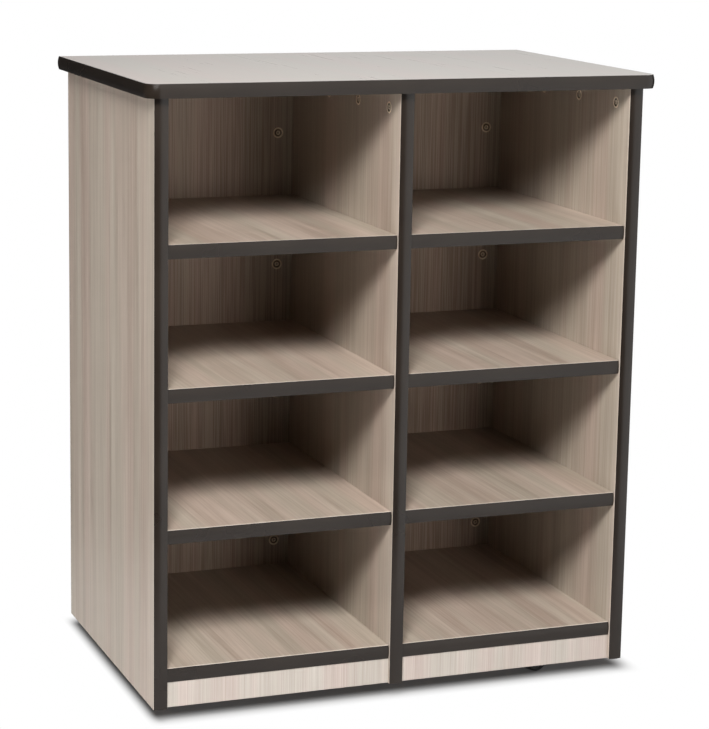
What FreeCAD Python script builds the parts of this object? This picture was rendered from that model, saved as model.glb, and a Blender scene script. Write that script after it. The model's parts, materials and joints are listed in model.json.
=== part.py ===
import FreeCAD, Part
import math
import os

# Open storage cabinet on swivel casters: two columns of four bays for trays or bins.
# Millimetres. X runs across the front, +Y towards the back, +Z up. The origin lies on the
# floor, below the middle of the whole cabinet's outline seen from above.

os.makedirs("parts", exist_ok=True)

V = FreeCAD.Vector
right = V(1, 0, 0)
back = V(0, 1, 0)
up = V(0, 0, 1)

# Case
board = 19.05               # laminated board of every panel
case_width = 711.2          # across the outside faces of the two sides
case_depth = 449.0          # from the front edge of a side's board to the back of the case
row_names = ["lower", "middle", "upper"]    # the shelves of a column, from below
row_pitch = 195.0           # from one bay floor to the next, and to the underside of the top
kick_height = 36.0          # toe kick, below the bottom panels
shelf_setback = 5.5         # shelf board's front edge behind the side board's front edge
housing_depth = 6.0         # how far a shelf's end goes into the groove of an upright
housing_clearance = 0.15    # at a shelf's end, front and upper face; it sits on the lower face
top_overhang = 15.5         # finished face of the top beyond the finished faces of the case
top_corner_radius = 16.0    # front corners of the top's board

# Edge moulding: a crowned strip with a barbed tongue pressed into a slot in the board's edge
crown_height = 2.8          # middle of the crown, outside the board's edge
lip_height = 1.0            # edge of the crown
tongue_depth = 10.5
tongue_thickness = 1.5
barb_width = 2.2            # across a pair of barbs
barb_length = 2.4
barb_pitch = 3.2
barb_first = 2.4            # first pair below the board's edge
barb_pairs = 2
slot_width = 2.4
slot_depth = 12.0
moulding_end_gap = 0.25     # shelf moulding's end to the face of the upright

# Cam locks, each let into a blind bore in the face of a panel
small_round_sides = 10      # sides drawn on the small round things that repeat
cam_radius = 7.4
cam_length = 13.4
cam_clearance = 0.1         # bore over cam, on the radius
cam_setback = 24.0          # cam's axis from the panel's edge that it pulls up
top_cam_first = 43.0        # first cam from the front edge of an upright
top_cam_pitch = 116.5
top_cam_count = 4
back_cam_first = 100.0      # highest cam below the top end of a back
back_cam_pitch = 202.0
back_cam_count = 3
back_cam_lowest = 94.0      # lowest cam above the bottom end of a back

# Swivel casters
caster_from_side = 72.5     # swivel axis to the nearest side's inner face
caster_from_kick = 48.5     # swivel axis to the toe kick, and to the back
wheel_radius = 25.4
wheel_width = 21.0
wheel_gap = 1.2             # wheel to a leg of the fork
crown_gap = 4.25            # top of the wheel to the fork's crown
trail = 19.0                # axle behind the swivel axis
axle_radius = 3.0
axle_clearance = 0.06       # running fit, on the radius
axle_head_flats = 10.0      # across the flats of the bolt's head and its nut
axle_head_height = 3.0
fork_sheet = 2.5
fork_bend = 3.0             # outside radius where a leg leaves the crown
fork_eye_radius = 9.0       # leg's rounded end about the axle
fork_front = 17.0           # crown ahead of the swivel axis
fork_rear = 24.0            # and behind it
plate_size = 60.0
plate_thickness = 2.5
plate_corner = 6.0
plate_hole_inset = 7.5      # screw hole's axis from each edge of the plate
plate_hole_radius = 2.8
race_radius = 19.0          # outside of the ball race
race_bore = 12.0
race_sides = 16
race_height = 3.2
kingpin_radius = 4.0
kingpin_head_flats = 14.0
kingpin_head_height = 4.0
kingpin_clearance = 0.08    # running fit of the fork on the kingpin, on the radius
running_gap = 0.25          # between faces that turn past each other

# Way that each caster trails as the cabinet stands, in degrees from +X towards +Y
caster_rest_angle = {
    "front_left": 110.0,
    "front_right": 205.0,
    "rear_left": 160.0,
    "rear_right": 200.0,
}

# Heights
fork_crown_top = 2 * wheel_radius + crown_gap + fork_sheet
caster_height = fork_crown_top + running_gap + race_height + plate_thickness
case_bottom = caster_height - kick_height
bottom_floor = caster_height + board
case_top = bottom_floor + row_pitch * (len(row_names) + 1)
overall_height = case_top + board

# Depths
overall_depth = case_depth + crown_height + top_overhang
front_face = -overall_depth / 2
back_face = overall_depth / 2
case_front = back_face - case_depth
shelf_front = case_front + shelf_setback
inside_back = back_face - board

# Widths
side_out = case_width / 2
side_in = side_out - board
divider_face = board / 2
top_half_width = side_out + top_overhang - crown_height
top_front = front_face + crown_height

columns = {
    "left": (-side_in, -divider_face),
    "right": (divider_face, side_in),
}


def save(name, shape):
    shape.exportStep("parts/" + name + ".step")
    print(name, len(shape.Solids), round(shape.Volume, 1))


def block(x0, x1, y0, y1, z0, z1):
    return Part.makeBox(x1 - x0, y1 - y0, z1 - z0, V(x0, y0, z0))


def moulding_section(root, across, out):
    # Outline of the strip. root lies on the board's edge, midway through the board.
    half = board / 2
    stem = tongue_thickness / 2
    barb = barb_width / 2
    flank = [(half, lip_height), (half, 0), (stem, 0)]
    for pair in range(barb_pairs):
        start = barb_first + pair * barb_pitch
        flank += [(stem, -start), (barb, -start), (stem, -start - barb_length)]
    flank.append((stem, -tongue_depth))
    return crowned_outline(root, across, out, flank)


def crown_section(root, across, out):
    # The strip without its tongue.
    return crowned_outline(root, across, out, [(board / 2, lip_height), (board / 2, 0)])


def crowned_outline(root, across, out, flank):
    # Closes a flank and its mirror image with the arc of the crown.
    def at(u, v):
        return root + across * u + out * v

    points = [at(u, v) for u, v in flank]
    points += [at(-u, v) for u, v in reversed(flank)]
    crown = Part.Arc(points[-1], at(0, crown_height), points[0]).toShape()
    edges = [crown] + [Part.makeLine(a, b) for a, b in zip(points, points[1:])]
    return Part.Wire(edges)


def slot_section(root, across, out):
    # The slot starts a little outside the board, so that it cuts the edge cleanly.
    half = slot_width / 2
    corners = [(half, 1), (half, -slot_depth), (-half, -slot_depth), (-half, 1)]
    points = [root + across * u + out * v for u, v in corners]
    return Part.makePolygon(points + points[:1])


def straight_run(section, length):
    return Part.Face(section).extrude(length)


def prism(sides, radius, start, length):
    # Regular prism on a circle of the given radius, from start along the vector length.
    along = V(length).normalize()
    across = back if abs(along.z) > 0.5 else up
    beside = along.cross(across)
    turns = [2 * math.pi * n / sides for n in range(sides)]
    points = [start + (across * math.cos(a) + beside * math.sin(a)) * radius for a in turns]
    return Part.Face(Part.makePolygon(points + points[:1])).extrude(length)


def hexagon(flats, start, length):
    return prism(6, flats / math.sqrt(3), start, length)


def bore(start, direction):
    # Blind hole that takes a cam lock. start lies on the panel's face.
    return prism(small_round_sides, cam_radius + cam_clearance, start, direction * cam_length)


def cam_lock(start, direction):
    return prism(small_round_sides, cam_radius, start, direction * cam_length)


def top_outline(height):
    # Left, front and right edges of the top's board as one path, from back to front to back.
    x = top_half_width
    y = top_front
    r = top_corner_radius
    bend = r * (1 - math.sqrt(0.5))
    outline = [(-x, back_face), (-x, y + r), (-x + bend, y + bend), (-x + r, y)]
    left = [V(px, py, height) for px, py in outline]
    far = [V(-p.x, p.y, height) for p in reversed(left)]
    edges = [
        Part.makeLine(left[0], left[1]),
        Part.Arc(left[1], left[2], left[3]).toShape(),
        Part.makeLine(left[3], far[0]),
        Part.Arc(far[0], far[1], far[2]).toShape(),
        Part.makeLine(far[2], far[3]),
    ]
    return Part.Wire(edges)


def top_panel():
    edge = top_outline(case_top)
    ends = [edge.Vertexes[0].Point, edge.Vertexes[-1].Point]
    outline = Part.Wire(edge.Edges + [Part.makeLine(ends[1], ends[0])])
    slab = Part.Face(outline).extrude(up * board)
    middle = case_top + board / 2
    slot = slot_section(V(-top_half_width, back_face, middle), up, right * -1)
    return slab.cut(top_outline(middle).makePipeShell([slot], True, False))


def top_moulding():
    # One strip round three edges. Its tongue is notched away at the two rounded corners.
    x = top_half_width
    y = top_front
    r = top_corner_radius
    z = case_top + board / 2
    side_length = back_face - y - r
    pieces = [
        straight_run(moulding_section(V(-x, back_face, z), up, right * -1), back * -side_length),
        straight_run(moulding_section(V(-x + r, y, z), up, back * -1), right * (2 * (x - r))),
        straight_run(moulding_section(V(x, y + r, z), up, right), back * side_length),
    ]
    corners = [
        (V(-x, y + r, z), right * -1, V(-x + r, y + r, z)),
        (V(x - r, y, z), back * -1, V(x - r, y + r, z)),
    ]
    for root, out, centre in corners:
        pieces.append(Part.Face(crown_section(root, up, out)).revolve(centre, up, 90))
    return pieces[0].fuse(pieces[1:]).removeSplitter()


def floor_levels():
    # Name and walking height of each bay floor in a column, the bottom panel first.
    levels = [("bottom", bottom_floor)]
    for row, name in enumerate(row_names):
        levels.append(("shelf_" + name, bottom_floor + row_pitch * (row + 1)))
    return levels


def housing(face, into, y0, y1, z0, z1):
    # Groove in the face of an upright for the end of a panel, stopped short of both edges.
    xs = sorted([face, face + into * (housing_depth + housing_clearance)])
    return block(xs[0], xs[1], y0 - housing_clearance, y1, z0, z1 + housing_clearance)


def housings(face, into):
    grooves = [housing(face, into, shelf_front, shelf_front + board, case_bottom, caster_height)]
    for name, level in floor_levels():
        grooves.append(housing(face, into, shelf_front, inside_back, level - board, level))
    return grooves


def top_cam_places():
    return [case_front + top_cam_first + top_cam_pitch * n for n in range(top_cam_count)]


def upright(x0, x1, housed_faces, cam_side):
    # A side or the divider: slotted front edge, grooves for the shelves, cam bores near the top.
    panel = block(x0, x1, case_front, back_face, case_bottom, case_top)
    middle = (x0 + x1) / 2
    slot = slot_section(V(middle, case_front, case_bottom), right, back * -1)
    cuts = [straight_run(slot, up * (case_top - case_bottom))]
    for face, into in housed_faces:
        cuts += housings(face, into)
    face, into = cam_side
    for y in top_cam_places():
        cuts.append(bore(V(face, y, case_top - cam_setback), right * into))
    return panel.cut(cuts)


def upright_moulding(x0, x1):
    section = moulding_section(V((x0 + x1) / 2, case_front, case_bottom), right, back * -1)
    return straight_run(section, up * (case_top - case_bottom))


def shelf(x0, x1, level):
    # Shelf or bottom panel, housed at both ends and slotted along its front edge.
    panel = block(x0 - housing_depth, x1 + housing_depth, shelf_front, inside_back, level - board, level)
    slot = slot_section(V(x0 - housing_depth, shelf_front, level - board / 2), up, back * -1)
    return panel.cut(straight_run(slot, right * (x1 - x0 + 2 * housing_depth)))


def shelf_moulding(x0, x1, level):
    start = x0 + moulding_end_gap
    section = moulding_section(V(start, shelf_front, level - board / 2), up, back * -1)
    return straight_run(section, right * (x1 - x0 - 2 * moulding_end_gap))


def toe_kick(x0, x1):
    rear = shelf_front + board
    return block(x0 - housing_depth, x1 + housing_depth, shelf_front, rear, case_bottom, caster_height)


def back_cam_places(x0, x1):
    heights = [case_top - back_cam_first - back_cam_pitch * n for n in range(back_cam_count)]
    heights.append(case_bottom + back_cam_lowest)
    return [V(x, inside_back, z) for x in (x0 + cam_setback, x1 - cam_setback) for z in heights]


def back_panel(x0, x1):
    panel = block(x0, x1, inside_back, back_face, case_bottom, case_top)
    return panel.cut([bore(place, back) for place in back_cam_places(x0, x1)])


def caster_plate():
    # Mounting plate with clipped corners, four screw holes and the hole that holds the kingpin.
    low = caster_height - plate_thickness
    half = plate_size / 2
    plate = block(-half, half, -half, half, low, caster_height)
    plate = plate.makeChamfer(plate_corner, [e for e in plate.Edges if is_upright(e)])
    offset = half - plate_hole_inset
    cuts = [Part.makeCylinder(kingpin_radius, plate_thickness, V(0, 0, low))]
    for x in (-offset, offset):
        for y in (-offset, offset):
            cuts.append(prism(small_round_sides, plate_hole_radius, V(x, y, low), up * plate_thickness))
    return plate.cut(cuts)


def is_upright(edge):
    ends = [v.Point for v in edge.Vertexes]
    return abs(ends[0].z - ends[-1].z) > 0.01


def kingpin():
    # Bolt that carries the fork: plain shank through the fork's crown, fast in the plate.
    head_top = fork_crown_top - fork_sheet - running_gap
    shank = Part.makeCylinder(kingpin_radius, caster_height - head_top, V(0, 0, head_top))
    head = hexagon(kingpin_head_flats, V(0, 0, head_top), up * -kingpin_head_height)
    return shank.fuse(head)


def race():
    # Ball race between the plate and the fork, round the kingpin.
    low = V(0, 0, caster_height - plate_thickness - race_height)
    ring = prism(race_sides, race_radius, low, up * race_height)
    return ring.cut(prism(race_sides, race_bore, low, up * race_height))


def fork():
    # Pressed fork: a crown under the race and two tapered legs down to the axle.
    top = fork_crown_top
    low = top - fork_sheet
    inner = wheel_width / 2 + wheel_gap
    outer = inner + fork_sheet
    body = leg_outline(-outer, top).extrude(back * (2 * outer))
    body = body.makeFillet(fork_bend, [e for e in body.Edges if is_bend(e, top)])
    pocket = block(-fork_front, trail + wheel_radius, -inner, inner, 0, low)
    swivel_hole = Part.makeCylinder(kingpin_radius + kingpin_clearance, fork_sheet, V(0, 0, low))
    axle_hole = Part.makeCylinder(axle_radius, 2 * outer, V(trail, -outer, wheel_radius), back)
    return body.cut([pocket, swivel_hole, axle_hole])


def is_bend(edge, height):
    # The crown's two long edges, where the sheet turns down into a leg.
    ends = [v.Point for v in edge.Vertexes]
    level = all(abs(p.z - height) < 0.01 for p in ends)
    return level and abs(ends[0].y - ends[-1].y) < 0.01


def leg_outline(y, top):
    # Side view of the fork: straight flanks that run tangent into the round eye about the axle.
    eye = V(trail, y, wheel_radius)
    front_corner = V(-fork_front, y, top)
    rear_corner = V(fork_rear, y, top)
    front_touch = tangent_point(front_corner, eye, fork_eye_radius, -1)
    rear_touch = tangent_point(rear_corner, eye, fork_eye_radius, 1)
    bottom = eye + V(0, 0, -fork_eye_radius)
    edges = [
        Part.makeLine(front_corner, front_touch),
        Part.Arc(front_touch, bottom, rear_touch).toShape(),
        Part.makeLine(rear_touch, rear_corner),
        Part.makeLine(rear_corner, front_corner),
    ]
    return Part.Face(Part.Wire(edges))


def tangent_point(corner, centre, radius, side):
    # Where a line from corner touches the circle about centre, on the low X side or the high one.
    to_corner = corner - centre
    spread = math.acos(radius / to_corner.Length)
    angle = math.atan2(to_corner.z, to_corner.x) - side * spread
    return centre + V(math.cos(angle), 0, math.sin(angle)) * radius


def wheel():
    # Flat tread, plain bore that runs on the axle.
    side = V(trail, -wheel_width / 2, wheel_radius)
    disc = Part.makeCylinder(wheel_radius, wheel_width, side, back)
    return disc.cut(Part.makeCylinder(axle_radius + axle_clearance, wheel_width, side, back))


def axle():
    # Bolt through fork and wheel, with its head outside one leg and its nut outside the other.
    outer = wheel_width / 2 + wheel_gap + fork_sheet
    pin = Part.makeCylinder(axle_radius, 2 * outer, V(trail, -outer, wheel_radius), back)
    head = hexagon(axle_head_flats, V(trail, -outer, wheel_radius), back * -axle_head_height)
    nut = hexagon(axle_head_flats, V(trail, outer, wheel_radius), back * axle_head_height)
    return pin.fuse([head, nut])


def caster_places():
    x = side_in - caster_from_side
    front = shelf_front + board + caster_from_kick
    rear = inside_back - caster_from_kick
    return {
        "front_left": V(-x, front, 0),
        "front_right": V(x, front, 0),
        "rear_left": V(-x, rear, 0),
        "rear_right": V(x, rear, 0),
    }


def stand(shape, place, angle):
    # Turns a caster's piece about its swivel axis and sets it in its place.
    moved = shape.copy()
    moved.rotate(V(0, 0, 0), up, angle)
    moved.translate(place)
    return moved


def build_case():
    # For each upright: its two faces, the housed faces with the way into the board, the cams' face.
    mid = divider_face
    uprights = {
        "left_side": (-side_out, -side_in, [(-side_in, -1)], (-side_in, -1)),
        "divider": (-mid, mid, [(-mid, 1), (mid, -1)], (-mid, 1)),
        "right_side": (side_in, side_out, [(side_in, 1)], (side_in, 1)),
    }
    cams = []
    for name, (x0, x1, housed_faces, cam_side) in uprights.items():
        save(name, upright(x0, x1, housed_faces, cam_side))
        save(name + "_moulding", upright_moulding(x0, x1))
        face, into = cam_side
        cams += [cam_lock(V(face, y, case_top - cam_setback), right * into) for y in top_cam_places()]
    save("top_panel", top_panel())
    save("top_moulding", top_moulding())
    save("top_cam_locks", Part.makeCompound(cams))


def build_columns():
    back_cams = []
    for side, (x0, x1) in columns.items():
        for name, level in floor_levels():
            save(side + "_" + name, shelf(x0, x1, level))
            save(side + "_" + name + "_moulding", shelf_moulding(x0, x1, level))
        save(side + "_toe_kick", toe_kick(x0, x1))
        save(side + "_back", back_panel(x0, x1))
        back_cams += [cam_lock(place, back) for place in back_cam_places(x0, x1)]
    save("back_cam_locks", Part.makeCompound(back_cams))


def build_casters():
    fixed = {"plate": caster_plate(), "kingpin": kingpin(), "race": race()}
    turning = {"fork": fork(), "wheel": wheel(), "axle": axle()}
    for corner, place in caster_places().items():
        for name, shape in fixed.items():
            save("caster_" + corner + "_" + name, stand(shape, place, 0))
        for name, shape in turning.items():
            save("caster_" + corner + "_" + name, stand(shape, place, caster_rest_angle[corner]))


build_case()
build_columns()
build_casters()
print("overall", 2 * (top_half_width + crown_height), overall_depth, overall_height)
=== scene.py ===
import json
import math
import bmesh
import bpy
from mathutils import Matrix, Vector


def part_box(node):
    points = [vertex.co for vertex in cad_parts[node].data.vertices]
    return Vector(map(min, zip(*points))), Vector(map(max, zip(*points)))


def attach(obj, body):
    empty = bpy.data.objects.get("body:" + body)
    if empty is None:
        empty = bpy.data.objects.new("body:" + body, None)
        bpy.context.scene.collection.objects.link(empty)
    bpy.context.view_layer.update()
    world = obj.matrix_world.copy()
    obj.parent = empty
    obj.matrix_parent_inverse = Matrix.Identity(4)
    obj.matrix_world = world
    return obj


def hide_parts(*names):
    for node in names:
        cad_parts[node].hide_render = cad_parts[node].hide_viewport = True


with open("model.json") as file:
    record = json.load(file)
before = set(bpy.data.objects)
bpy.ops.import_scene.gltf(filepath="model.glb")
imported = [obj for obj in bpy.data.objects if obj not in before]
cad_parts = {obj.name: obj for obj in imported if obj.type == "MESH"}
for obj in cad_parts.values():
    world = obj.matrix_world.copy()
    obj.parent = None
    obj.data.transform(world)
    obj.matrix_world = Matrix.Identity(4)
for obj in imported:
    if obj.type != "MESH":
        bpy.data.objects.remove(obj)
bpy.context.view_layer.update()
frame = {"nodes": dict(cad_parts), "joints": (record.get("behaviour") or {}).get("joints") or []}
nodes = frame["nodes"]
mm = 0.001
weld = 0.001 * mm  # corners closer than this are one
print("frame loaded:", len(nodes), "nodes")


# Small helpers for shader trees

def fillInputs(tree, node, inputs):
    # Links what is a socket and sets what is a plain value.
    for key, value in inputs.items():
        if isinstance(value, bpy.types.NodeSocket):
            tree.links.new(value, node.inputs[key])
        else:
            node.inputs[key].default_value = value


def addNode(tree, kind, inputs, **settings):
    made = tree.nodes.new("ShaderNode" + kind)
    for name, value in settings.items():
        setattr(made, name, value)
    fillInputs(tree, made, inputs)
    return made


def calc(tree, operation, a, b=0.0, clamp=False):
    return addNode(tree, "Math", {0: a, 1: b}, operation=operation, use_clamp=clamp).outputs[0]


def mixColour(tree, factor, a, b, blend="MIX"):
    picked = addNode(tree, "Mix", {0: factor, 6: a, 7: b}, data_type="RGBA", blend_type=blend)
    return picked.outputs[2]


def spread(tree, value, low, high, outLow=0.0, outHigh=1.0):
    inputs = {0: value, 1: low, 2: high, 3: outLow, 4: outHigh}
    return addNode(tree, "MapRange", inputs, interpolation_type="SMOOTHSTEP").outputs[0]


def stretchedNoise(tree, vector, scale, detail=2.0, roughness=0.5):
    # scale is in cycles per metre along each axis
    scaled = addNode(tree, "VectorMath", {0: vector, 1: scale}, operation="MULTIPLY").outputs[0]
    inputs = {"Vector": scaled, "Scale": 1.0, "Detail": detail, "Roughness": roughness}
    return addNode(tree, "TexNoise", inputs, noise_dimensions="3D").outputs[0]


def newGroup(name, inputs, outputs):
    tree = bpy.data.node_groups.new(name, "ShaderNodeTree")
    kinds = {"value": "NodeSocketFloat", "vector": "NodeSocketVector"}
    for label, kind in inputs.items():
        tree.interface.new_socket(name=label, in_out="INPUT", socket_type=kinds[kind])
    for label, kind in outputs.items():
        tree.interface.new_socket(name=label, in_out="OUTPUT", socket_type=kinds[kind])
    return tree, tree.nodes.new("NodeGroupInput"), tree.nodes.new("NodeGroupOutput")


def placeGroup(tree, group, inputs):
    made = tree.nodes.new("ShaderNodeGroup")
    made.node_tree = group
    fillInputs(tree, made, inputs)
    return made


def newMaterial(name, metallic=0.0):
    material = bpy.data.materials.new(name)
    material.use_nodes = True
    tree = material.node_tree
    shader = tree.nodes["Principled BSDF"]
    shader.inputs["Metallic"].default_value = metallic
    shader.inputs["IOR"].default_value = 1.5
    return material, tree, shader


def objectPoint(tree):
    return addNode(tree, "TexCoord", {}).outputs["Object"]


def bumpFrom(tree, height, distance):
    inputs = {"Height": height, "Distance": distance, "Strength": 1.0}
    return addNode(tree, "Bump", inputs).outputs["Normal"]


def weighed(tree, noise, share):
    # A noise about its middle, which is 0.5, times its share.
    return calc(tree, "MULTIPLY", calc(tree, "SUBTRACT", noise, 0.5), share)


# Printed wood grain of the laminate, along the Z of the vector that comes in. Fine weighs the
# thinnest streaks and Contrast all of them. Pitches are in cycles per metre along X, Y and Z.

grainLook = {
    "broadPitch": (34.0, 34.0, 0.9),
    "middlePitch": (130.0, 130.0, 2.2),
    "finePitch": (420.0, 420.0, 5.0),
    "porePitch": (1100.0, 1100.0, 34.0),
    "warmthPitch": (22.0, 22.0, 0.7),
    "broadShare": 1.2,
    "middleShare": 1.1,
    "fineShare": 1.5,
    "poreShare": 0.12,
    "poreLimits": (0.62, 0.74),
    "warmthLimits": (0.35, 0.65),
    "fineRelief": 0.7,
    "poreRelief": 0.3,
}


def makeGrainGroup():
    look = grainLook
    asked = {"Vector": "vector", "Fine": "value", "Contrast": "value"}
    given = {"Streak": "value", "Warmth": "value", "Height": "value"}
    tree, start, end = newGroup("printedGrain", asked, given)
    at = start.outputs["Vector"]
    broad = stretchedNoise(tree, at, look["broadPitch"], 1.0)
    middle = stretchedNoise(tree, at, look["middlePitch"], 2.0)
    fine = stretchedNoise(tree, at, look["finePitch"], 2.0, 0.6)
    ticks = stretchedNoise(tree, at, look["porePitch"], 1.0)
    fineShare = calc(tree, "MULTIPLY", start.outputs["Fine"], look["fineShare"])
    total = weighed(tree, broad, look["broadShare"])
    total = calc(tree, "ADD", total, weighed(tree, middle, look["middleShare"]))
    total = calc(tree, "ADD", total, weighed(tree, fine, fineShare))
    pores = spread(tree, ticks, *look["poreLimits"])
    total = calc(tree, "SUBTRACT", total, calc(tree, "MULTIPLY", pores, look["poreShare"]))
    total = calc(tree, "MULTIPLY", total, start.outputs["Contrast"])
    streak = calc(tree, "ADD", total, 0.5, clamp=True)
    warmth = stretchedNoise(tree, at, look["warmthPitch"], 1.0)
    relief = calc(tree, "MULTIPLY", fine, look["fineRelief"])
    relief = calc(tree, "ADD", relief, calc(tree, "MULTIPLY", ticks, look["poreRelief"]))
    tree.links.new(streak, end.inputs["Streak"])
    tree.links.new(spread(tree, warmth, *look["warmthLimits"]), end.inputs["Warmth"])
    tree.links.new(relief, end.inputs["Height"])
    return tree


grainGroup = makeGrainGroup()


laminateLook = {
    "light": (0.430, 0.371, 0.315, 1.0),
    "dark": (0.300, 0.249, 0.203, 1.0),
    "pinkish": (1.03, 0.985, 0.975, 1.0),
    "greenish": (0.985, 1.01, 0.985, 1.0),
    "tone": (1.0, 1.0, 1.0),
    "pitch": 1.0,
    "fine": 1.3,
    "contrast": 1.0,
    "roughness": 0.38,
    "satinSpread": 0.06,
    "bumpDepth": 0.02 * mm,
    "frontEdge": -1.0,
    # The edge keys below paint a pale highlight strip along the board's front edge.
    "edgeHighlight": (0.82, 0.76, 0.69, 1.0),
    "edgeHighlightShare": 0.0,
    "edgeHighlightWidth": 3.2 * mm,
    "edgeHighlightSoft": 0.6,
}

coreLook = {
    "light": (0.46, 0.34, 0.22, 1.0),
    "dark": (0.25, 0.17, 0.10, 1.0),
    "chipSize": 2.2 * mm,
    "roughness": 0.85,
}


def makeLaminate(name, grainAxis, faceAxis, **changes):
    # Axes are 0, 1 or 2 for X, Y or Z. frontEdge is the Y of the board's front edge, along which a pale
    # strip paints the highlight that edge catches. Faces across faceAxis are laminated, and the others
    # show the board's chips.
    look = laminateLook | changes
    material, tree, shader = newMaterial(name)
    point = objectPoint(tree)
    turned = point
    if grainAxis == 1:
        turning = {"Vector": point, "Rotation": (math.radians(90), 0, 0)}
        turned = addNode(tree, "Mapping", turning).outputs[0]
    crowding = {0: turned, 1: (look["pitch"], look["pitch"], 1.0)}
    crowded = addNode(tree, "VectorMath", crowding, operation="MULTIPLY").outputs[0]
    wanted = {"Vector": crowded, "Fine": look["fine"], "Contrast": look["contrast"]}
    grain = placeGroup(tree, grainGroup, wanted)
    wood = mixColour(tree, grain.outputs["Streak"], look["dark"], look["light"])
    hue = mixColour(tree, grain.outputs["Warmth"], look["greenish"], look["pinkish"])
    wood = mixColour(tree, 1.0, wood, hue, "MULTIPLY")
    wood = mixColour(tree, 1.0, wood, (*look["tone"], 1.0), "MULTIPLY")
    xyz = addNode(tree, "SeparateXYZ", {0: point}).outputs
    # Painted highlight: a pale strip along the board's front edge, in place of the light that edge
    # catches.
    fromFront = calc(tree, "SUBTRACT", xyz[1], look["frontEdge"])
    width = look["edgeHighlightWidth"]
    rim = spread(tree, fromFront, width * look["edgeHighlightSoft"], width, look["edgeHighlightShare"], 0.0)
    wood = mixColour(tree, rim, wood, look["edgeHighlight"])
    chipping = {"Vector": point, "Scale": 1.0 / coreLook["chipSize"]}
    chips = addNode(tree, "TexVoronoi", chipping).outputs["Color"]
    chipTone = addNode(tree, "SeparateXYZ", {0: chips}).outputs[0]
    core = mixColour(tree, chipTone, coreLook["dark"], coreLook["light"])
    normal = addNode(tree, "TexCoord", {}).outputs["Normal"]
    facing = addNode(tree, "SeparateXYZ", {0: normal}).outputs
    flat = calc(tree, "GREATER_THAN", calc(tree, "ABSOLUTE", facing[faceAxis]), 0.5)
    if faceAxis == 0:
        banded = calc(tree, "GREATER_THAN", calc(tree, "ABSOLUTE", facing[1]), 0.5)
        flat = calc(tree, "MAXIMUM", flat, banded)
    tree.links.new(mixColour(tree, flat, core, wood), shader.inputs["Base Color"])
    satin = calc(tree, "MULTIPLY", grain.outputs["Streak"], look["satinSpread"])
    rough = calc(tree, "ADD", satin, look["roughness"] - look["satinSpread"] / 2)
    choice = {0: flat, 2: coreLook["roughness"], 3: rough}
    rough = addNode(tree, "Mix", choice, data_type="FLOAT").outputs[0]
    tree.links.new(rough, shader.inputs["Roughness"])
    relief = bumpFrom(tree, grain.outputs["Height"], look["bumpDepth"])
    tree.links.new(relief, shader.inputs["Normal"])
    return material


mouldingLook = {
    "colour": (0.0102, 0.0071, 0.0050, 1.0),
    "worn": (0.0138, 0.0101, 0.0073, 1.0),
    "cloudPitch": 9.0,
    "cloudLimits": (0.3, 0.75),
    "roughness": 0.29,
    "roughSpread": 0.12,
    "grainSize": 0.5 * mm,
    "bumpDepth": 0.012 * mm,
}


def makeMoulding():
    look = mouldingLook
    material, tree, shader = newMaterial("edgeMoulding")
    point = objectPoint(tree)
    cells = stretchedNoise(tree, point, [1.0 / look["grainSize"]] * 3, 2.0)
    cloud = stretchedNoise(tree, point, [look["cloudPitch"]] * 3, 3.0)
    tone = spread(tree, cloud, *look["cloudLimits"])
    tree.links.new(mixColour(tree, tone, look["colour"], look["worn"]), shader.inputs["Base Color"])
    rough = calc(tree, "MULTIPLY", cloud, look["roughSpread"])
    rough = calc(tree, "ADD", rough, look["roughness"] - look["roughSpread"] / 2)
    tree.links.new(rough, shader.inputs["Roughness"])
    tree.links.new(bumpFrom(tree, cells, look["bumpDepth"]), shader.inputs["Normal"])
    return material


metalLook = {
    "cloudPitch": 120.0,
    "cloudLimits": (0.35, 0.7),
    "speckPitch": 900.0,
    "roughSpread": 0.2,
    "bumpDepth": 0.01 * mm,
}

zincLook = {
    "colour": (0.62, 0.63, 0.64, 1.0),
    "dull": (0.42, 0.43, 0.43, 1.0),
    "roughness": 0.32,
    "metallic": 1.0,
}

camMetalLook = {
    "colour": (0.95, 0.84, 0.68, 1.0),
    "dull": (0.68, 0.56, 0.42, 1.0),
    "roughness": 0.36,
    "metallic": 0.3,
}

# The well's darker metal is painted shade: the cam's recess is the same zinc, only in shadow.
shadedCamWellLook = {
    "colour": (0.30, 0.25, 0.19, 1.0),
    "dull": (0.16, 0.13, 0.10, 1.0),
    "roughness": 0.5,
    "metallic": 0.5,
}


def makeMetal(name, finish):
    look = metalLook | finish
    material, tree, shader = newMaterial(name, look["metallic"])
    point = objectPoint(tree)
    cloud = stretchedNoise(tree, point, [look["cloudPitch"]] * 3, 4.0)
    speck = stretchedNoise(tree, point, [look["speckPitch"]] * 3, 2.0)
    tone = spread(tree, cloud, *look["cloudLimits"])
    tree.links.new(mixColour(tree, tone, look["colour"], look["dull"]), shader.inputs["Base Color"])
    rough = calc(tree, "MULTIPLY", tone, look["roughSpread"])
    tree.links.new(calc(tree, "ADD", rough, look["roughness"]), shader.inputs["Roughness"])
    tree.links.new(bumpFrom(tree, speck, look["bumpDepth"]), shader.inputs["Normal"])
    return material


scuffLook = {
    "pitch": 260.0,
    "limits": (0.52, 0.75),
    "roughSpread": 0.2,
    "bumpDepth": 0.05 * mm,
}

treadRubberLook = {
    "colour": (0.022, 0.022, 0.023, 1.0),
    "dusty": (0.060, 0.058, 0.055, 1.0),
    "roughness": 0.6,
}

coreRubberLook = {
    "colour": (0.045, 0.045, 0.047, 1.0),
    "dusty": (0.070, 0.068, 0.066, 1.0),
    "roughness": 0.42,
}


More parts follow.
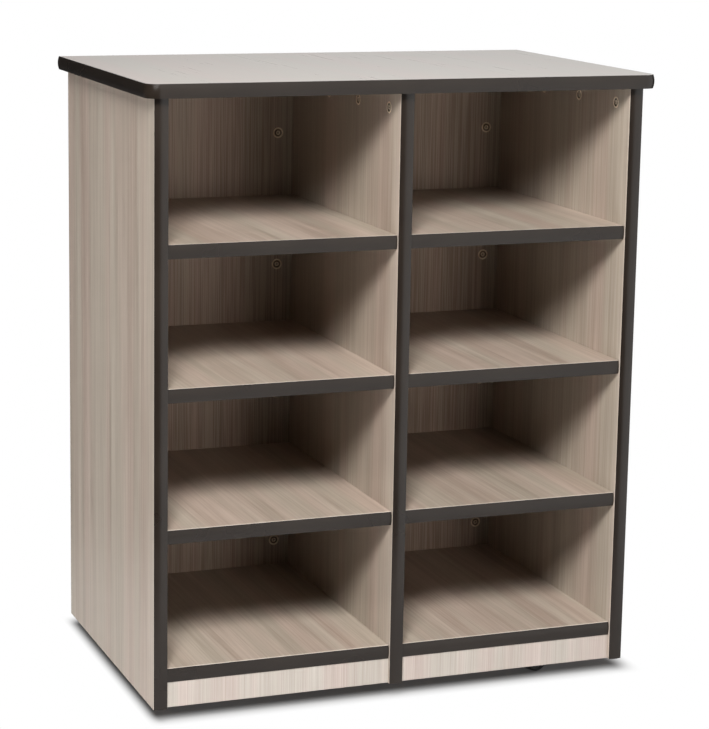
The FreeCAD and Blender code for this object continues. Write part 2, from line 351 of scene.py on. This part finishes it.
def makeRubber(name, finish):
    look = scuffLook | finish
    material, tree, shader = newMaterial(name)
    point = objectPoint(tree)
    scuffs = stretchedNoise(tree, point, [look["pitch"]] * 3, 4.0, 0.65)
    mask = spread(tree, scuffs, *look["limits"])
    tree.links.new(mixColour(tree, mask, look["colour"], look["dusty"]), shader.inputs["Base Color"])
    rough = calc(tree, "MULTIPLY", mask, look["roughSpread"])
    tree.links.new(calc(tree, "ADD", rough, look["roughness"]), shader.inputs["Roughness"])
    tree.links.new(bumpFrom(tree, scuffs, look["bumpDepth"]), shader.inputs["Normal"])
    return material


# The share in each look says how strongly the painted front-edge highlight shows on that board.
sideLook = {"frontEdge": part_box("left_side")[0].y, "edgeHighlightShare": 0.35}
shelfLook = {"frontEdge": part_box("left_shelf_upper")[0].y, "edgeHighlightShare": 0.75}
wallLook = {"pitch": 1.8, "fine": 5.0}
# The toe kicks' paler, cooler tone is painted light, for the extra light the kicks get from the lit
# floor before them.
kickLook = {"tone": (1.06, 1.14, 1.25), "pitch": 1.6, "fine": 2.4, "contrast": 0.52}
topLook = {"tone": (0.955, 1.005, 1.075), "roughness": 0.28, "contrast": 0.2, "bumpDepth": 0.0}

sideLaminate = makeLaminate("sideLaminate", 2, 0, **sideLook)
shelfLaminate = makeLaminate("shelfLaminate", 1, 2, **shelfLook)
wallLaminate = makeLaminate("wallLaminate", 2, 1, **wallLook)
kickLaminate = makeLaminate("kickLaminate", 2, 1, **kickLook)
topLaminate = makeLaminate("topLaminate", 1, 2, **topLook)
edgeMoulding = makeMoulding()
zincSteel = makeMetal("zincSteel", zincLook)
camMetal = makeMetal("camMetal", camMetalLook)
shadedCamWell = makeMetal("shadedCamWell", shadedCamWellLook)
wheelRubber = makeRubber("wheelRubber", treadRubberLook)
wheelCore = makeRubber("wheelCore", coreRubberLook)
print("materials made")


def materialFor(name):
    if name.endswith("_moulding"):
        return edgeMoulding
    if name.endswith("_locks"):
        return camMetal
    if name.endswith("_wheel"):
        return wheelRubber
    if name.startswith("caster_"):
        return zincSteel
    if name == "top_panel":
        return topLaminate
    if name.endswith("_toe_kick"):
        return kickLaminate
    if name.endswith("_back"):
        return wallLaminate
    if "_side" in name or name == "divider":
        return sideLaminate
    return shelfLaminate


for name, piece in nodes.items():
    piece.data.materials.clear()
    piece.data.materials.append(materialFor(name))
print("frame dressed")


# Small turned and pressed pieces, modelled fresh over the frame's plain ones

def turnProfile(points, steps):
    # points are (radius, height). The outline is spun once round the Z axis.
    shape = bmesh.new()
    verts = [shape.verts.new((radius, 0, height)) for radius, height in points]
    edges = [shape.edges.new(pair) for pair in zip(verts, verts[1:])]
    turn = dict(cent=(0, 0, 0), axis=(0, 0, 1), angle=2 * math.pi, steps=steps, use_merge=True)
    bmesh.ops.spin(shape, geom=verts + edges, **turn)
    bmesh.ops.remove_doubles(shape, verts=shape.verts, dist=weld)
    return shape


def roundEdges(shape, edges, offset, segments):
    curve = dict(offset=offset, segments=segments, profile=0.5, affect="EDGES", material=-1)
    bmesh.ops.bevel(shape, geom=edges, **curve)


def sharpEdges(shape, degrees):
    return [e for e in shape.edges if e.calc_face_angle(0) > math.radians(degrees)]


def sinkCross(shape, top, look):
    # Fills the open ring at height top, leaving a cross-shaped recess in its middle.
    width = look["crossWidth"]
    length = look["crossLength"]
    rims = [e for e in shape.edges if e.is_boundary]
    ring = [e for e in rims if all(abs(v.co.z - top) < weld for v in e.verts)]
    arm = [(length / 2, -width / 2), (length / 2, width / 2), (width / 2, width / 2)]
    corners = []
    for quarter in range(4):
        turn = Matrix.Rotation(math.radians(90) * quarter, 2)
        corners += [shape.verts.new((*(turn @ Vector(point)), top)) for point in arm]
    cross = [shape.edges.new(pair) for pair in zip(corners, corners[1:] + corners[:1])]
    bmesh.ops.triangle_fill(shape, edges=ring + cross, use_beauty=True)
    walls = bmesh.ops.extrude_edge_only(shape, edges=cross)["geom"]
    low = [v for v in walls if isinstance(v, bmesh.types.BMVert)]
    rim = [e for e in walls if isinstance(e, bmesh.types.BMEdge)]
    taper = look["crossTaper"]
    bmesh.ops.scale(shape, vec=(taper, taper, 1), verts=low)
    bmesh.ops.translate(shape, vec=(0, 0, -look["crossDepth"]), verts=low)
    bmesh.ops.triangle_fill(shape, edges=rim, use_beauty=True)


def placed(outward, place, spin=0.0):
    # Matrix that turns a piece about its own Z, points that Z outward and sets it at place.
    aim = Vector(outward).to_track_quat("Z", "Y").to_matrix().to_4x4()
    return Matrix.Translation(Vector(place)) @ aim @ Matrix.Rotation(spin, 4, "Z")


smoothAngle = 32  # degrees between faces up to which a turned piece shades as one curve


def makePiece(name, shape, places, body, materials, replaced=()):
    # Copies one shape to every place, as one object at the origin that rides on a body.
    bmesh.ops.recalc_face_normals(shape, faces=shape.faces)
    single = bpy.data.meshes.new(name + "Single")
    shape.to_mesh(single)
    shape.free()
    joined = bmesh.new()
    for place in places:
        before = len(joined.verts)
        joined.from_mesh(single)
        joined.verts.ensure_lookup_table()
        bmesh.ops.transform(joined, matrix=place, verts=joined.verts[before:])
    mesh = bpy.data.meshes.new(name)
    joined.to_mesh(mesh)
    joined.free()
    bpy.data.meshes.remove(single)
    mesh.shade_smooth()
    mesh.set_sharp_from_angle(angle=math.radians(smoothAngle))
    for material in materials:
        mesh.materials.append(material)
    piece = bpy.data.objects.new(name, mesh)
    bpy.context.scene.collection.objects.link(piece)
    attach(piece, body)
    if replaced:
        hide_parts(*replaced)
    return piece


def looseBoxes(name):
    # Lowest and highest corner of each separate solid in a node.
    copy = bmesh.new()
    copy.from_mesh(nodes[name].data)
    bmesh.ops.remove_doubles(copy, verts=copy.verts, dist=weld)
    left = set(copy.verts)
    boxes = []
    while left:
        edge = [left.pop()]
        found = list(edge)
        while edge:
            near = {e.other_vert(v) for v in edge for e in v.link_edges} & left
            left -= near
            edge = list(near)
            found += edge
        corners = [[pick(v.co[n] for v in found) for n in range(3)] for pick in (min, max)]
        boxes.append([Vector(corner) for corner in corners])
    copy.free()
    return sorted(boxes, key=lambda box: tuple(round(value, 5) for value in box[0]))


camLook = {
    "rimRadius": 8.2 * mm,
    "rimProud": 0.45 * mm,
    "rimInner": 6.1 * mm,
    "wellRadius": 5.8 * mm,
    "wellDepth": 1.8 * mm,
    "bossRadius": 3.3 * mm,
    "barrelRadius": 7.0 * mm,
    "webs": 4,
    "webWidth": 1.1 * mm,
    "webDrop": 0.5 * mm,
    "crossWidth": 1.0 * mm,
    "crossLength": 4.6 * mm,
    "crossDepth": 1.7 * mm,
    "crossTaper": 0.8,
    "turnStep": 47.0,  # degrees, since no two cams stop alike
    "steps": 36,
}


def makeCam(length):
    look = camLook
    boss = look["bossRadius"]
    proud = look["rimProud"]
    well = look["wellRadius"]
    rim = look["rimRadius"]
    outline = [
        (boss, 0.0),
        (boss, -look["wellDepth"]),
        (well, -look["wellDepth"]),
        (well, 0.0),
        (look["rimInner"], proud),
        (rim - proud, proud),
        (rim, 0.0),
        (look["barrelRadius"], 0.0),
        (look["barrelRadius"], -length),
        (0.0, -length),
    ]
    shape = turnProfile(outline, look["steps"])
    sinkCross(shape, 0.0, look)
    for web in range(look["webs"]):
        turn = Matrix.Rotation(2 * math.pi * web / look["webs"], 4, "Z")
        size = Matrix.Diagonal((well - boss, look["webWidth"], look["wellDepth"] - look["webDrop"], 1))
        middle = Vector(((well + boss) / 2, 0, -(look["wellDepth"] + look["webDrop"]) / 2))
        bmesh.ops.create_cube(shape, size=1.0, matrix=turn @ Matrix.Translation(middle) @ size)
    for face in shape.faces:  # the second material, darker, paints the shade in the well
        face.material_index = int(face.calc_center_median().z < -look["webDrop"] / 2)
    return shape


def makeCams():
    turnStep = math.radians(camLook["turnStep"])
    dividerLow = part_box("divider")[0].x
    metals = [camMetal, shadedCamWell]
    # Let into the uprights, in the side that faces the bay
    places = []
    for index, (low, high) in enumerate(looseBoxes("top_cam_locks")):
        outward = 1 if high.x < dividerLow - mm else -1
        face = high.x if outward > 0 else low.x
        place = (face, (low.y + high.y) / 2, (low.z + high.z) / 2)
        places.append(placed((outward, 0, 0), place, turnStep * index))
    cam = makeCam(high.x - low.x)
    makePiece("topCams", cam, places, "cabinet", metals, ["top_cam_locks"])
    # Let into the front of the backs
    places = []
    for index, (low, high) in enumerate(looseBoxes("back_cam_locks")):
        place = ((low.x + high.x) / 2, low.y, (low.z + high.z) / 2)
        places.append(placed((0, -1, 0), place, turnStep * index))
    cam = makeCam(high.y - low.y)
    makePiece("backCams", cam, places, "cabinet", metals, ["back_cam_locks"])


makeCams()
print("cam locks made")


casterNames = ["front_left", "front_right", "rear_left", "rear_right"]

wheelLook = {
    "width": 21.0 * mm,
    "treadDepth": 5.4 * mm,
    "shoulder": 2.6 * mm,
    "hubRadius": 8.0 * mm,
    "hubRecess": 0.6 * mm,
    "bore": 3.1 * mm,
    "webHalf": 3.6 * mm,
    "rimDepth": 2.2 * mm,
    "rimDrop": 1.0 * mm,
    "webFlare": 0.8 * mm,
    "easing": 0.3 * mm,
    "ribs": 8,
    "ribWidth": 1.6 * mm,
    "ribDrop": 1.2 * mm,
    "treadSteps": 72,
    "coreSteps": 48,
}

raceLook = {
    "bore": 12.0 * mm,
    "radius": 19.0 * mm,
    "lip": 0.5 * mm,
    "steps": 56,
}

screwLook = {
    "headRadius": 4.6 * mm,
    "headHeight": 2.1 * mm,
    "flat": 2.9 * mm,
    "shankRadius": 2.3 * mm,
    "shankLength": 2.4 * mm,
    "crossWidth": 1.0 * mm,
    "crossLength": 4.8 * mm,
    "crossDepth": 1.3 * mm,
    "crossTaper": 0.8,
    "domeStart": 0.6 * mm,
    "domeHeight": 0.78,
    "skirtHeight": 0.3,
    "inset": 7.5 * mm,
    "turnStep": 0.7,  # radians
    "steps": 28,
}


def makeTread(radius):
    look = wheelLook
    half = look["width"] / 2
    inner = radius - look["treadDepth"]
    outline = [(inner, -half), (radius, -half), (radius, half), (inner, half), (inner, -half)]
    shape = turnProfile(outline, look["treadSteps"])
    corners = sharpEdges(shape, 60)
    shoulders = [e for e in corners if all(v.co.xy.length > radius - 0.01 * mm for v in e.verts)]
    roundEdges(shape, shoulders, look["shoulder"], 5)
    return shape


def makeCore(radius):
    look = wheelLook
    half = look["width"] / 2 - look["hubRecess"]
    outer = radius - look["treadDepth"]
    web = look["webHalf"]
    hub = look["hubRadius"]
    flare = look["webFlare"]
    rim = outer - look["rimDepth"]
    rimHalf = half - look["rimDrop"]
    side = [
        (look["bore"], half),
        (hub, half),
        (hub + flare, web),
        (rim - flare, web),
        (rim, rimHalf),
        (outer, rimHalf),
    ]
    outline = side + [(r, -z) for r, z in reversed(side)] + side[:1]
    shape = turnProfile(outline, look["coreSteps"])
    roundEdges(shape, sharpEdges(shape, 30), look["easing"], 2)
    for rib in range(look["ribs"]):
        turn = Matrix.Rotation(2 * math.pi * rib / look["ribs"], 4, "Z")
        size = Matrix.Diagonal((rim - hub, look["ribWidth"], 2 * (rimHalf - look["ribDrop"]), 1))
        middle = Matrix.Translation(Vector(((rim + hub) / 2, 0, 0)))
        bmesh.ops.create_cube(shape, size=1.0, matrix=turn @ middle @ size)
    return shape


def makeRace(height):
    look = raceLook
    outline = [
        (look["bore"], 0.0),
        (look["radius"], 0.0),
        (look["radius"], height),
        (look["bore"], height),
        (look["bore"], 0.0),
    ]
    shape = turnProfile(outline, look["steps"])
    roundEdges(shape, sharpEdges(shape, 30), look["lip"], 3)
    return shape


def makeScrew():
    look = screwLook
    head = look["headRadius"]
    height = look["headHeight"]
    outline = [
        (look["flat"], height),
        (head - look["domeStart"], height * look["domeHeight"]),
        (head, height * look["skirtHeight"]),
        (head, 0.0),
        (look["shankRadius"], 0.0),
        (look["shankRadius"], -look["shankLength"]),
        (0.0, -look["shankLength"]),
    ]
    shape = turnProfile(outline, look["steps"])
    sinkCross(shape, height, look)
    return shape


def makeCasters():
    joints = {joint["name"]: joint for joint in frame["joints"]}
    for name in casterNames:
        # Wheel: tread and core
        node = "caster_" + name
        roll = joints[name + "_roll"]
        radius = roll["pos_m"][2]
        wheelPlace = [placed(roll["axis"], roll["pos_m"])]
        wheelBody = "wheel_" + name
        wheel = [node + "_wheel"]
        tread = makeTread(radius)
        core = makeCore(radius)
        makePiece(node + "_tread", tread, wheelPlace, wheelBody, [wheelRubber], wheel)
        makePiece(node + "_core", core, wheelPlace, wheelBody, [wheelCore], wheel)
        # Ball race under the plate, and the plate's screws
        low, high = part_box(node + "_race")
        ring = [placed((0, 0, 1), ((low.x + high.x) / 2, (low.y + high.y) / 2, low.z))]
        race = makeRace(high.z - low.z)
        makePiece(node + "_ballRace", race, ring, "cabinet", [zincSteel], [node + "_race"])
        low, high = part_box(node + "_plate")
        centre = (low + high) / 2
        half = (high.x - low.x) / 2 - screwLook["inset"]
        signs = [(sx, sy) for sx in (-1, 1) for sy in (-1, 1)]
        spots = [(centre.x + sx * half, centre.y + sy * half, low.z) for sx, sy in signs]
        turns = [placed((0, 0, -1), spot, screwLook["turnStep"] * n) for n, spot in enumerate(spots)]
        makePiece(node + "_screws", makeScrew(), turns, "cabinet", [zincSteel])


makeCasters()
print("casters dressed")


# Studio: floor, background, softboxes

# Each fade says where the shadow under the case begins and is full, in metres inwards from that side
# of its outline.
floorLook = {
    "size": 40.0,
    "bounce": (0.62, 0.62, 0.62, 1.0),
    "mirrored": (0.55, 0.55, 0.55, 1.0),
    "shadowed": (0.20, 0.20, 0.20, 1.0),
    "deepest": 0.97,
    "leftFade": (-0.002, 0.021),
    "rightFade": (-0.049, -0.009),
    "frontFade": (0.002, 0.057),
    "rearFade": (-0.071, -0.021),
    "paperReach": (0.60, 1.10),
}


def rayMix(tree, labels, other, seen):
    # Shows one shader to the named kinds of ray and the other shader to all the rest.
    rays = addNode(tree, "LightPath", {}).outputs
    direct = rays[labels[0]]
    for label in labels[1:]:
        direct = calc(tree, "MAXIMUM", direct, rays[label])
    return addNode(tree, "MixShader", {0: direct, 1: other, 2: seen}).outputs[0]


def underCase(tree, point):
    # 1 on the floor under the cabinet, falling to 0 round its outline as its soft shadow does.
    look = floorLook
    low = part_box("left_side")[0]
    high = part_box("right_side")[1]
    x, y = addNode(tree, "SeparateXYZ", {0: point}).outputs[:2]
    shares = [
        spread(tree, calc(tree, "SUBTRACT", x, low.x), *look["leftFade"]),
        spread(tree, calc(tree, "SUBTRACT", high.x, x), *look["rightFade"]),
        spread(tree, calc(tree, "SUBTRACT", y, low.y), *look["frontFade"]),
        spread(tree, calc(tree, "SUBTRACT", high.y, y), *look["rearFade"]),
    ]
    inside = look["deepest"]
    for share in shares:
        inside = calc(tree, "MULTIPLY", share, inside)
    return inside


def makeFloor():
    # Seen directly, the floor is plain white round the shadow under the cabinet, and from below it
    # isn't there. Reflections meet it as it is lit near the cabinet, and the studio farther out.
    mesh = bpy.data.meshes.new("studioFloor")
    shape = bmesh.new()
    bmesh.ops.create_grid(shape, x_segments=1, y_segments=1, size=floorLook["size"] / 2)
    shape.to_mesh(mesh)
    shape.free()
    floor = bpy.data.objects.new("studioFloor", mesh)
    bpy.context.scene.collection.objects.link(floor)
    material = bpy.data.materials.new("studioFloor")
    material.use_nodes = True
    tree = material.node_tree
    tree.nodes.clear()
    point = objectPoint(tree)
    plain = addNode(tree, "BsdfDiffuse", {"Color": floorLook["bounce"]}).outputs[0]
    shadowed = addNode(tree, "BsdfDiffuse", {"Color": floorLook["shadowed"]}).outputs[0]
    white = addNode(tree, "Emission", {"Strength": 1.0}).outputs[0]
    seen = addNode(tree, "MixShader", {0: underCase(tree, point), 1: white, 2: shadowed}).outputs[0]
    reach = addNode(tree, "VectorMath", {0: point}, operation="LENGTH").outputs["Value"]
    beyond = spread(tree, reach, *floorLook["paperReach"])
    clear = addNode(tree, "BsdfTransparent", {}).outputs[0]
    near = addNode(tree, "BsdfDiffuse", {"Color": floorLook["mirrored"]}).outputs[0]
    mirrored = addNode(tree, "MixShader", {0: beyond, 1: near, 2: clear}).outputs[0]
    shown = rayMix(tree, ["Is Glossy Ray"], plain, mirrored)
    shown = rayMix(tree, ["Is Camera Ray", "Is Transmission Ray"], shown, seen)
    under = addNode(tree, "NewGeometry", {}).outputs["Backfacing"]
    shown = addNode(tree, "MixShader", {0: under, 1: shown, 2: clear}).outputs[0]
    addNode(tree, "OutputMaterial", {"Surface": shown})
    mesh.materials.append(material)


# Each pair says between which parts of a direction along X, Y or Z something comes into view.
worldLook = {
    "fill": (0.92, 0.96, 1.0, 1.0),
    "fillStrength": 0.003,
    "darkRoom": 0.03,
    "backdrop": (0.30, 0.75),
    "backdropSide": (-0.12, 0.40),
    "horizon": (-0.06, 0.06),
    "wallLevel": 1.0,
    "wallSide": (0.10, 0.32),
    "wallFront": (-0.20, 0.20),
    "farFloor": 0.20,
    "farBehind": (0.30, 0.60),
    "farBelow": (-0.34, -0.16),
}


def studioLevel(tree):
    # Brightness that reflections meet in each direction: the white backdrop behind the cabinet with
    # dimmer floor before it, a pale wall in front to the right, and the dark room elsewhere.
    look = worldLook
    toward = addNode(tree, "TexCoord", {}).outputs["Generated"]
    way = addNode(tree, "SeparateXYZ", {0: toward}).outputs
    behind = spread(tree, way[1], *look["backdrop"])
    above = spread(tree, way[2], *look["horizon"])
    beside = spread(tree, way[0], *look["backdropSide"])
    backdrop = calc(tree, "MULTIPLY", calc(tree, "MULTIPLY", behind, above), beside)
    toRight = spread(tree, way[0], *look["wallSide"])
    inFront = spread(tree, way[1], *look["wallFront"], 1.0, 0.0)
    wall = calc(tree, "MULTIPLY", calc(tree, "MULTIPLY", toRight, inFront), look["wallLevel"])
    below = spread(tree, way[2], *look["farBelow"], 1.0, 0.0)
    away = spread(tree, way[1], *look["farBehind"])
    paper = calc(tree, "MULTIPLY", calc(tree, "MULTIPLY", below, away), look["farFloor"])
    lit = calc(tree, "MAXIMUM", calc(tree, "MAXIMUM", backdrop, wall), paper)
    return calc(tree, "MAXIMUM", lit, look["darkRoom"])


def makeWorld():
    world = bpy.data.worlds.new("studioWorld")
    bpy.context.scene.world = world
    world.use_nodes = True
    tree = world.node_tree
    tree.nodes.clear()

    def backdrop(colour, strength):
        return addNode(tree, "Background", {"Color": colour, "Strength": strength}).outputs[0]

    paper = (1.0, 1.0, 1.0, 1.0)
    fill = backdrop(worldLook["fill"], worldLook["fillStrength"])
    white = backdrop(paper, 1.0)
    mirrored = backdrop(paper, studioLevel(tree))
    shown = rayMix(tree, ["Is Glossy Ray"], fill, mirrored)
    shown = rayMix(tree, ["Is Camera Ray", "Is Transmission Ray"], shown, white)
    addNode(tree, "OutputWorld", {"Surface": shown})


# Azimuth 0 is straight in front of the cabinet, 90 to its right. Angles in degrees, sizes in metres.
softboxes = {
    "key": dict(
        azimuth=-24.5, elevation=36.5, distance=3.2, roll=38,
        width=1.15, height=0.70, watts=189, colour=(1.0, 0.97, 0.96),
    ),
    "rightFill": dict(
        azimuth=12, elevation=5, distance=4.0, roll=0,
        width=0.9, height=0.8, watts=23, colour=(1.0, 0.83, 0.77),
    ),
    "leftFill": dict(
        azimuth=-84, elevation=-4, distance=2.8, roll=0,
        width=1.1, height=0.45, watts=28, colour=(0.96, 0.96, 1.0),
    ),
    "sideFill": dict(
        azimuth=100, elevation=-2, distance=2.8, roll=0,
        width=1.0, height=0.7, watts=46, colour=(0.97, 0.98, 1.0),
    ),
    "backFill": dict(
        azimuth=170, elevation=-2, distance=2.8, roll=0,
        width=1.0, height=0.7, watts=50, colour=(1.0, 0.98, 0.96),
    ),
}

# Glossy surfaces mirror none of these lamps, and a dimmer one in the key's place instead.
softboxes["keyShine"] = softboxes["key"] | {"watts": 90}
lightTarget = Vector((0.0, 0.0, 0.45))


def makeLights():
    for name, box in softboxes.items():
        azimuth = math.radians(box["azimuth"])
        elevation = math.radians(box["elevation"])
        level = math.cos(elevation)
        away = Vector((math.sin(azimuth) * level, -math.cos(azimuth) * level, math.sin(elevation)))
        lamp = bpy.data.lights.new(name, "AREA")
        lamp.shape = "RECTANGLE"
        lamp.size = box["width"]
        lamp.size_y = box["height"]
        lamp.energy = box["watts"]
        lamp.color = box["colour"]
        holder = bpy.data.objects.new(name, lamp)
        place = lightTarget + away * box["distance"]
        holder.matrix_world = placed(away, place, math.radians(box["roll"]))
        holder.visible_glossy = name == "keyShine"
        holder.visible_diffuse = name != "keyShine"
        bpy.context.scene.collection.objects.link(holder)


makeFloor()
makeWorld()
makeLights()
print("studio lit")


# Camera, from the picture's own perspective. Pixels are in a 709 by 729 frame.
photoView = {
    "place": (-1.2197, -3.1547, 1.1569),
    "yaw": 20.42,
    "pitch": 10.90,
    "roll": 0.82,
    "focalPixels": 2358.2,
    "centreX": 317.5,
    "centreY": 323.0,
    "frameWidth": 709,
    "frameHeight": 729,
    "sensor": 36.0,
    "nearest": 0.05,
    "farthest": 100.0,
}


def makeCamera():
    look = photoView
    yaw = math.radians(look["yaw"])
    pitch = math.radians(look["pitch"])
    roll = math.radians(look["roll"])
    ahead = Vector((math.sin(yaw) * math.cos(pitch), math.cos(yaw) * math.cos(pitch), -math.sin(pitch)))
    level = Vector((math.cos(yaw), -math.sin(yaw), 0.0))
    above = level.cross(ahead)
    across = level * math.cos(roll) + above * math.sin(roll)
    upward = above * math.cos(roll) - level * math.sin(roll)
    data = bpy.data.cameras.new("photoCamera")
    longSide = max(look["frameWidth"], look["frameHeight"])
    data.sensor_width = look["sensor"]
    data.lens = look["focalPixels"] / longSide * data.sensor_width
    data.shift_x = (look["frameWidth"] / 2 - look["centreX"]) / longSide
    data.shift_y = (look["centreY"] - look["frameHeight"] / 2) / longSide
    data.clip_start = look["nearest"]
    data.clip_end = look["farthest"]
    camera = bpy.data.objects.new("photoCamera", data)
    turn = Matrix((across, upward, -ahead)).transposed().to_4x4()
    camera.matrix_world = Matrix.Translation(Vector(look["place"])) @ turn
    bpy.context.scene.collection.objects.link(camera)
    bpy.context.scene.camera = camera


makeCamera()
bpy.context.scene.view_settings.view_transform = "Standard"
print("camera set")
